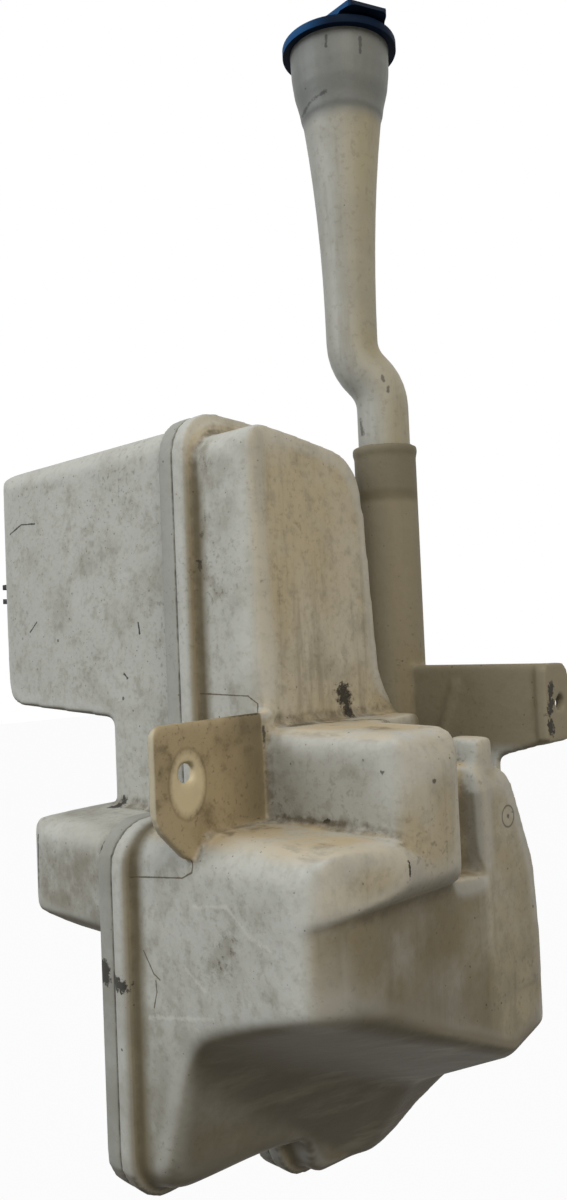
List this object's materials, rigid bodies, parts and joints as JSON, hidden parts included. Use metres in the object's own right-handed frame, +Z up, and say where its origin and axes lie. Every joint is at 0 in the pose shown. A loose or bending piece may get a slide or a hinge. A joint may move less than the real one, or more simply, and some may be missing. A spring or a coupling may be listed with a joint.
{
  "type": "washer fluid reservoir",
  "caption": "Welded two-shell plastic tank for windscreen washer fluid, with bolt brackets, a tall cranked filler pipe, a hinged flip cap and a pump at its sump.",
  "frame": {"origin": "centre of the bolt hole in the front bracket, half way through the bracket plate", "axes": "+X is the outward normal of the weld plane, +Y runs from the front bracket towards the filler pipe, +Z is up along the filler pipe"},
  "size_m": [0.2975, 0.191, 0.5552],
  "materials": {
    "tank_plastic": "weathered natural polyethylene, satin",
    "pipe_plastic": "weathered natural polyethylene, satin",
    "cap_plastic": "navy blue, semi gloss",
    "seal_rubber": "matt black",
    "pump_plastic": "black, satin",
    "strainer_plastic": "natural, satin"
  },
  "bodies": {
    "tank": {"outer_shell": "tank_plastic", "inner_shell": "tank_plastic", "filler_pipe": "pipe_plastic", "pipe_seal": "seal_rubber", "cap_ring": "cap_plastic", "pump_case": "pump_plastic", "pump_foot": "pump_plastic", "pump_grommet": "seal_rubber", "pump_strainer": "strainer_plastic", "hose_clip": "pump_plastic"},
    "lid": {"cap_lid": "cap_plastic"}
  },
  "joints": [
    {"name": "lid_hinge", "type": "hinge", "parent": "tank", "child": "lid", "pos_m": [-0.05692, 0.15203, 0.3523], "axis": [-0.342, -0.9397, 0], "range_deg": [0, 110]}
  ]
}
